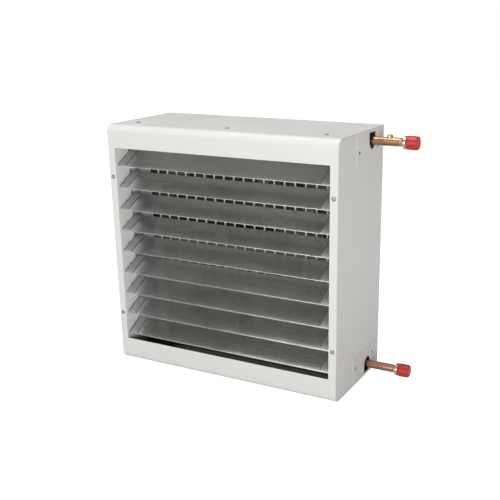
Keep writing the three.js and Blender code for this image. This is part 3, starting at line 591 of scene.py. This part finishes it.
guardGrid()
print("guard ready")


fanShape = {
    "blades": 7, "rootRadius": 52.25, "tipRadius": 204, "rootChord": 56, "tipChord": 112,
    "rootAngle": 44, "tipAngle": 24, "sheet": 4, "hubInner": 50.25, "hubOuter": 53.75, "hubHalf": 18,
    "cells": (14, 10), "tipRounding": 0.3,
}
orificeShape = {"radius": 210, "collar": 24, "sheet": 1.25, "steps": 96, "flange": 15, "mouth": 3}


def mixed(low, high, share):
    return low + (high - low) * share


# The blade starts as a flat slab; each station then goes to its own radius, turn and thickness.
def fanBlade(turnDegrees):
    shape = fanShape
    part = bmesh.new()
    bmesh.ops.create_grid(part, x_segments=shape["cells"][0], y_segments=shape["cells"][1], size=0.5)
    raised = bmesh.ops.extrude_face_region(part, geom=part.faces[:])["geom"]
    bmesh.ops.translate(part, vec=(0, 0, 1), verts=[item for item in raised
                                                    if isinstance(item, bmesh.types.BMVert)])
    for vert in part.verts:
        along, across, layer = vert.co.x + 0.5, vert.co.y, vert.co.z - 0.5
        radius = mixed(shape["rootRadius"], shape["tipRadius"], along)
        beyond = max(0, along - 0.75) / 0.25
        chord = mixed(shape["rootChord"], shape["tipChord"], along) * (1 - shape["tipRounding"] * beyond ** 3)
        depth = shape["sheet"] * layer * (1 - 0.8 * (2 * across) ** 2)
        angle = math.radians(mixed(shape["rootAngle"], shape["tipAngle"], along))
        camber = chord * 0.06 * (1 - (2 * across) ** 2)
        turn = (chord * across * math.cos(angle) - (depth + camber) * math.sin(angle)) / radius
        axial = chord * across * math.sin(angle) + (depth + camber) * math.cos(angle)
        vert.co = (radius * math.cos(turn), axial, -radius * math.sin(turn))
    bmesh.ops.rotate(part, cent=(0, 0, 0), matrix=Matrix.Rotation(math.radians(turnDegrees), 3, "Y"),
                     verts=part.verts)
    closePart(part)
    return part


def fanImpeller():
    low, high = corners("fan_impeller")
    shape = fanShape
    half = shape["hubHalf"]
    bm = bmesh.new()
    for i in range(shape["blades"]):
        addPart(bm, fanBlade(360 * i / shape["blades"]), 0)
    ring = softLine([(-half, shape["hubInner"]), (-half, shape["hubOuter"]), (half, shape["hubOuter"]),
                     (half, shape["hubInner"])], 1.2, 3, closed=True)
    addPart(bm, turnedPart(ring, (0, 0, 0), (0, 1, 0), 64, closed=True), 0)
    for i in range(12):
        rib = boxPart((shape["hubOuter"] - 0.5, -half + 2, -0.8), (shape["hubOuter"] + 1.6, half - 2, 0.8), 0.3)
        bmesh.ops.rotate(rib, cent=(0, 0, 0), matrix=Matrix.Rotation(math.radians(30 * i + 12), 3, "Y"),
                         verts=rib.verts)
        addPart(bm, rib, 0)
    bmesh.ops.translate(bm, vec=(0, -4, middleZ), verts=bm.verts)
    finishPiece("fan_impeller_fine", bm, ["fanPlastic"], ["fan_impeller"], sharpAngle=50)


def shroudPlate():
    low, high = corners("fan_shroud_plate")
    size = orificeShape
    face = low.y + size["collar"]
    bm = bmesh.new()
    outline = roundedRectangle(low.x, high.x, low.z, high.z, 1.5)
    hole = circle(0, middleZ, size["radius"] + size["mouth"], size["steps"])
    addPart(bm, cutSheet(outline, [hole], "acrossY", face, size["sheet"], 0), 0)
    line = [(-size["collar"], size["radius"] + size["mouth"]), (-size["collar"], size["radius"]),
            (0, size["radius"]), (0, size["radius"] + size["mouth"] + 1)]
    line = [(distance + size["sheet"] / 2, radius + size["sheet"] / 2) for distance, radius in line]
    collar = sheetSection(softLine(line, size["mouth"] * 0.95, 5), size["sheet"])
    addPart(bm, turnedPart(collar, (0, face, middleZ), (0, 1, 0), size["steps"], closed=True), 0)
    for x in (low.x, high.x - size["sheet"]):
        addPart(bm, boxPart((x, face, low.z), (x + size["sheet"], face + size["flange"], high.z)), 0)
    # The shroud plate's near-black tone is partly painted shade of the dim inside of the casing.
    finishPiece("fan_shroud_plate_fine", bm, ["darkSheetAndShadow"], ["fan_shroud_plate"])


# Profiles are (distance from the node's front, radius), turned about the fan's axis.
def motorPieces():
    turnedNodes = {
        "motor_stator": ("groundSteel", [(0, 13.25), (0, 48), (4, 48), (4, 45), (48, 45), (48, 13.25)]),
        "rotor_can": ("darkSheetAndShadow", [(0, 46), (0, 50), (44, 50), (44, 5.25), (40, 5.25), (40, 46)]),
        "motor_bearing_1": ("groundSteel", [(0, 5.25), (0, 7.5), (0.6, 7.5), (0.6, 11), (0, 11), (0, 13),
                                            (8, 13), (8, 11), (7.4, 11), (7.4, 7.5), (8, 7.5), (8, 5.25)]),
    }
    turnedNodes["motor_bearing_2"] = turnedNodes["motor_bearing_1"]
    for node, (look, profile) in turnedNodes.items():
        low, high = corners(node)
        bm = bmesh.new()
        addPart(bm, turnedPart(softLine(profile, 0.8, 3, closed=True), (0, low.y, middleZ), (0, 1, 0), 64,
                               closed=True), 0)
        finishPiece(node + "_fine", bm, [look], [node])
    low, high = corners("motor_shaft")
    radius, length = (high.x - low.x) / 2, high.y - low.y
    bm = bmesh.new()
    profile = [(0, 0), (0, radius - 0.6), (0.6, radius), (length - 0.6, radius), (length, radius - 0.6),
               (length, 0)]
    addPart(bm, turnedPart(profile, (0, low.y, middleZ), (0, 1, 0), 32), 0)
    finishPiece("motor_shaft_fine", bm, ["groundSteel"], ["motor_shaft"])


fanImpeller()
shroudPlate()
motorPieces()
print("fan and motor ready")


coilShape = {"finPitch": 3.2, "finSheet": 0.4, "wave": 0.4, "waves": 4, "tubePitch": 50, "tubes": 11,
             "tubeRadius": 5, "finBottom": 62, "finTop": 498, "endSheet": 1.0}


def coilCore():
    low, high = corners("coil_core")
    size = coilShape
    bm = bmesh.new()
    count = int((size["finTop"] - size["finBottom"]) / size["finPitch"])
    steps = size["waves"] * 2
    line = [(low.y + 0.3 + (high.y - low.y - 0.6) * step / steps, size["wave"] * (-1) ** step)
            for step in range(steps + 1)]
    fins = cutSheet(sheetSection(line, size["finSheet"]), [], "acrossX", low.x + size["endSheet"],
                    high.x - low.x - 2 * size["endSheet"], edge=0)
    first = fins.verts[:] + fins.edges[:] + fins.faces[:]
    for i in range(1, count):
        copied = bmesh.ops.duplicate(fins, geom=first)["geom"]
        bmesh.ops.translate(fins, vec=(0, 0, i * size["finPitch"]),
                            verts=[item for item in copied if isinstance(item, bmesh.types.BMVert)])
    bmesh.ops.translate(fins, vec=(0, 0, size["finBottom"] + size["finPitch"] / 2), verts=fins.verts)
    addPart(bm, fins, 0)
    for x in (low.x, high.x - size["endSheet"]):
        addPart(bm, boxPart((x, low.y, size["finBottom"]), (x + size["endSheet"], high.y, size["finTop"])), 1)
    middle = (low.y + high.y) / 2
    for i in range(size["tubes"]):
        x = (i - (size["tubes"] - 1) / 2) * size["tubePitch"]
        radius, length = size["tubeRadius"], high.z - low.z
        profile = [(0, 0), (0, radius + 0.6), (1.2, radius), (length - 1.2, radius),
                   (length, radius + 0.6), (length, 0)]
        addPart(bm, turnedPart(profile, (x, middle, low.z), (0, 0, 1), 20), 2)
    finishPiece("coil_core_fine", bm, ["finMetal", "galvanised", "copper"], ["coil_core"])


# The braze runs round the pipe where it enters the union; the upper one has a green flux mark before it.
pipeShape = {"wall": 1, "brazeLength": 3.4, "brazeHeight": 2.0, "fluxLength": 4.0}


def headerPipe(end):
    low, high = corners(end + "_header_pipe")
    unionLow, unionHigh = corners(end + "_pipe_union")
    size = pipeShape
    radius, length = (high.z - low.z) / 2, high.x - low.x
    origin = (low.x, (low.y + high.y) / 2, (low.z + high.z) / 2)
    inner = radius - size["wall"]
    braze = unionLow.x - low.x - 0.25
    bm = bmesh.new()
    profile = [(0, 0), (0, radius * 0.6), (0.8, radius * 0.86), (2.4, radius), (length, radius),
               (length, inner), (1.5, inner), (1.5, 0)]
    addPart(bm, turnedPart(profile, origin, (1, 0, 0), 40), 0)
    fillet = [(braze - size["brazeLength"], radius), (braze - size["brazeLength"] * 0.45, radius + 0.45),
              (braze - size["brazeLength"] * 0.15, radius + size["brazeHeight"] * 0.6),
              (braze, radius + size["brazeHeight"]), (braze, radius - 0.4),
              (braze - size["brazeLength"], radius - 0.4)]
    addPart(bm, turnedPart(fillet, origin, (1, 0, 0), 40, closed=True), 1)
    if end == "upper":
        band = braze - size["brazeLength"]
        flux = [(band - size["fluxLength"], radius), (band - size["fluxLength"] * 0.7, radius + 0.12),
                (band, radius + 0.12), (band, radius - 0.3), (band - size["fluxLength"], radius - 0.3)]
        addPart(bm, turnedPart(flux, origin, (1, 0, 0), 40, closed=True), 2)
    finishPiece(end + "_header_pipe_fine", bm, ["copper", "brazeAlloy", "greenFlux"], [end + "_header_pipe"])


unionShape = {"ring": 7.5, "ringRadius": 14, "threadRadius": 13, "threadDepth": 0.9, "threadPitch": 1.8,
              "socket": 9.25, "socketLength": 19, "bore": 8}


def pipeUnion(end):
    low, high = corners(end + "_pipe_union")
    size = unionShape
    length = high.x - low.x
    profile = [(0, size["socket"]), (0, 11.2), (0.7, 12.9), (1.9, size["ringRadius"]),
               (size["ring"] - 1.2, size["ringRadius"]), (size["ring"] - 0.4, size["ringRadius"] - 0.7),
               (size["ring"], size["threadRadius"] - size["threadDepth"])]
    at = size["ring"] + 0.6
    while at + size["threadPitch"] < length - 0.8:
        profile += [(at + size["threadPitch"] * 0.4, size["threadRadius"]),
                    (at + size["threadPitch"] * 0.55, size["threadRadius"]),
                    (at + size["threadPitch"], size["threadRadius"] - size["threadDepth"])]
        at += size["threadPitch"]
    profile += [(length, size["threadRadius"] - 1.4), (length, size["bore"]),
                (size["socketLength"], size["bore"]), (size["socketLength"], size["socket"])]
    bm = bmesh.new()
    origin = (low.x, (low.y + high.y) / 2, (low.z + high.z) / 2)
    addPart(bm, turnedPart(profile, origin, (1, 0, 0), 48, closed=True), 0)
    finishPiece(end + "_pipe_union_fine", bm, ["brass"], [end + "_pipe_union"])


# Outside of the cap as share of its length and radius in millimetres, from the open end.
capShape = {"outside": [(0, 13.7), (0.02, 14.1), (0.12, 14.45), (0.35, 14.75), (0.6, 14.7), (0.85, 14.3),
                        (0.94, 13.95), (0.985, 13.3), (1, 12.2)],
            "bore": 13.25, "wall": 1.5, "dish": 0.5, "dishRadius": 9.4}


def pipeCap(end):
    low, high = corners(end + "_pipe_cap")
    size = capShape
    length = high.x - low.x
    profile = [(length - size["wall"], 0), (length - size["wall"], size["bore"] - 0.5),
               (length - size["wall"] - 0.5, size["bore"]), (0.4, size["bore"]), (0, size["bore"] + 0.2)]
    profile += [(share * length, radius) for share, radius in size["outside"]]
    profile += [(length, size["dishRadius"] + 0.5), (length - size["dish"], size["dishRadius"]),
                (length - size["dish"], 0)]
    bm = bmesh.new()
    origin = (low.x, (low.y + high.y) / 2, (low.z + high.z) / 2)
    addPart(bm, turnedPart(profile, origin, (1, 0, 0), 48), 0)
    finishPiece(end + "_pipe_cap_fine", bm, ["redPlastic"], [end + "_pipe_cap"], sharpAngle=50)


coilCore()
for end in ("upper", "lower"):
    headerPipe(end)
    pipeUnion(end)
    pipeCap(end)
print("coil and pipes ready")


ventShape = {"base": 7, "neck": 5.6, "hexRadius": 6.8, "hexHeight": 2.6, "collar": 5.2, "bore": 2.1,
             "keySquare": 1.3}


def ventBody():
    low, high = corners("vent_body")
    size = ventShape
    centre = ((low.x + high.x) / 2, (low.y + high.y) / 2, low.z)
    height = high.z - low.z
    hexStart = height - size["hexHeight"] - 1.4
    bm = bmesh.new()
    profile = [(0, size["bore"]), (0, size["base"] - 0.8), (1.6, size["base"]), (3.2, size["base"] * 0.95),
               (hexStart, size["neck"] + 0.8), (height - 1.5, size["neck"]), (height - 0.5, size["collar"]),
               (height, size["collar"] - 0.5), (height, size["bore"])]
    addPart(bm, turnedPart(profile, centre, (0, 0, 1), 40, closed=True), 0)
    hexPart = cutSheet(circle(centre[0], centre[1], size["hexRadius"], 6),
                       [circle(centre[0], centre[1], size["neck"] - 0.5, 24)], "acrossZ",
                       low.z + hexStart + 0.2, size["hexHeight"], 0.45)
    addPart(bm, hexPart, 0)
    finishPiece("vent_body_fine", bm, ["brass"], ["vent_body"])


# The key screw has a raised square for the radiator key.
def ventScrew():
    low, high = corners("vent_screw")
    centre = ((low.x + high.x) / 2, (low.y + high.y) / 2, low.z)
    height, half = high.z - low.z, ventShape["keySquare"]
    seat = height - 2.5
    bm = bmesh.new()
    profile = [(0, 0), (0, 1.3), (0.4, 1.75), (seat, 1.75), (seat, 2.85), (seat + 0.5, 2.85),
               (seat + 0.9, 2.4), (seat + 0.9, 0)]
    addPart(bm, turnedPart(profile, centre, (0, 0, 1), 32), 0)
    addPart(bm, boxPart((centre[0] - half, centre[1] - half, low.z + seat + 0.7),
                        (centre[0] + half, centre[1] + half, high.z), 0.3), 0)
    finishPiece("vent_screw_fine", bm, ["brass"], ["vent_screw"])


grommetShape = {"bore": 5, "flange": 12.5, "neck": 10, "lip": 2}


def cableGrommet():
    low, high = corners("cable_grommet")
    size = grommetShape
    length, lip = high.x - low.x, size["lip"]
    profile = softLine([(0, size["bore"]), (0, size["flange"]), (lip, size["flange"]), (lip, size["neck"]),
                        (length - lip, size["neck"]), (length - lip, size["flange"]),
                        (length, size["flange"]), (length, size["bore"])], 0.9, 4, closed=True)
    bm = bmesh.new()
    origin = (low.x, (low.y + high.y) / 2, (low.z + high.z) / 2)
    addPart(bm, turnedPart(profile, origin, (1, 0, 0), 48, closed=True), 0)
    finishPiece("cable_grommet_fine", bm, ["blackRubberAndShadow"], ["cable_grommet"])


nutShape = {"bore": 4, "outer": 8, "threadDepth": 0.55, "threadPitch": 1.25}


def weldNut(number):
    node = "weld_nut_" + str(number)
    low, high = corners(node)
    size = nutShape
    length = high.y - low.y
    profile = [(0, size["bore"] + 0.6), (0, size["outer"] - 0.8), (0.8, size["outer"]),
               (length - 0.8, size["outer"]), (length, size["outer"] - 0.8), (length, size["bore"] + 0.6)]
    at = length - 0.6
    while at > 0.6 + size["threadPitch"]:
        profile += [(at, size["bore"]), (at - size["threadPitch"] / 2, size["bore"] + size["threadDepth"])]
        at -= size["threadPitch"]
    bm = bmesh.new()
    origin = ((low.x + high.x) / 2, low.y, (low.z + high.z) / 2)
    addPart(bm, turnedPart(profile, origin, (0, 1, 0), 32, closed=True), 0)
    finishPiece(node + "_fine", bm, ["screwZinc"], [node])


ventBody()
ventScrew()
cableGrommet()
for number in range(1, 5):
    weldNut(number)
print("fittings ready")


# The floor's own glow rises from near to far, between the two distances of the fade.
stageLook = {"size": 14.0, "tone": 0.45, "glow": (0.2, 0.45), "seen": 1.0, "fade": (0.3, 0.9), "drop": 0.0005}
worldLook = {"seen": 1.0, "shed": 0.24}
lightLook = {
    "left": {"place": (-0.5, -3.3, 0.9), "size": 2.0, "power": 33.0},
    "right": {"place": (2.2, -2.75, 0.4), "size": 1.0, "power": 48.0},
    "top": {"place": (-0.1, -0.1, 2.6), "size": 1.8, "power": 41.0},
}
cameraLook = {"place": (0.90072, -1.54510, 0.79191), "azimuth": 27.471, "elevation": 17.816, "roll": -0.490,
              "lens": 58.29, "sensor": 36.0, "shift": (-0.0689, 0.0458)}


def makeFloor():
    bm = bmesh.new()
    bmesh.ops.create_grid(bm, x_segments=1, y_segments=1, size=stageLook["size"] / 2)
    bmesh.ops.translate(bm, vec=(0, 0, casingLow.z * 0.001 - stageLook["drop"]), verts=bm.verts)
    mesh = bpy.data.meshes.new("floor")
    bm.to_mesh(mesh)
    bm.free()
    floor = bpy.data.objects.new("floor", mesh)
    bpy.context.scene.collection.objects.link(floor)
    tone = stageLook["tone"]
    material, shader, at = startMaterial("paleFloor", {
        "Base Color": (tone, tone, tone, 1), "Roughness": 0.9, "Specular IOR Level": 0.1,
        "Emission Strength": 1.0})
    away = at.add("ShaderNodeVectorMath", {"operation": "LENGTH"}, {0: at}, out=1)
    glow = spread(away, *stageLook["fade"])
    near, far, white = [(level, level, level) for level in (*stageLook["glow"], stageLook["seen"])]
    seen = at.add("ShaderNodeLightPath", out="Is Camera Ray")    # white where seen, dimmer where it lights
    plug(shader, "Emission Color", mixColour(seen, mixColour(glow, near, far), white))
    mesh.materials.append(material)


def makeLight(name, look):
    data = bpy.data.lights.new(name, "AREA")
    data.shape = "SQUARE"
    data.size = look["size"]
    data.energy = look["power"]
    light = bpy.data.objects.new(name, data)
    bpy.context.scene.collection.objects.link(light)
    light.location = look["place"]
    aim = Vector((0, 0, middleZ * 0.001)) - light.location
    light.rotation_euler = aim.to_track_quat("-Z", "Y").to_euler()


# The backdrop is white where it is seen and softer where it lights.
def makeWorld():
    world = bpy.data.worlds.new("studio")
    bpy.context.scene.world = world
    world.use_nodes = True
    tree = world.node_tree
    background = tree.nodes["Background"]
    background.inputs["Color"].default_value = (1, 1, 1, 1)
    seen = Wire(tree, tree.nodes.new("ShaderNodeLightPath").outputs["Is Camera Ray"])
    strength = worldLook["shed"] + seen * (worldLook["seen"] - worldLook["shed"])
    tree.links.new(strength.socket, background.inputs["Strength"])


def makeCamera():
    azimuth, elevation, roll = [math.radians(cameraLook[key]) for key in ("azimuth", "elevation", "roll")]
    forward = Vector((-math.sin(azimuth) * math.cos(elevation), math.cos(azimuth) * math.cos(elevation),
                      -math.sin(elevation)))
    level = Vector((math.cos(azimuth), math.sin(azimuth), 0))
    upright = level.cross(forward)
    right = level * math.cos(roll) + upright * math.sin(roll)
    up = upright * math.cos(roll) - level * math.sin(roll)
    turn = Matrix((right, up, -forward)).transposed()
    data = bpy.data.cameras.new("camera")
    data.lens = cameraLook["lens"]
    data.sensor_width = cameraLook["sensor"]
    data.shift_x, data.shift_y = cameraLook["shift"]
    data.clip_start = 0.01
    camera = bpy.data.objects.new("camera", data)
    bpy.context.scene.collection.objects.link(camera)
    camera.matrix_world = Matrix.Translation(Vector(cameraLook["place"])) @ turn.to_4x4()
    bpy.context.scene.camera = camera


makeFloor()
for name, look in lightLook.items():
    makeLight(name, look)
makeWorld()
makeCamera()
bpy.context.scene.view_settings.view_transform = "Standard"
print("stage, lights and camera ready")
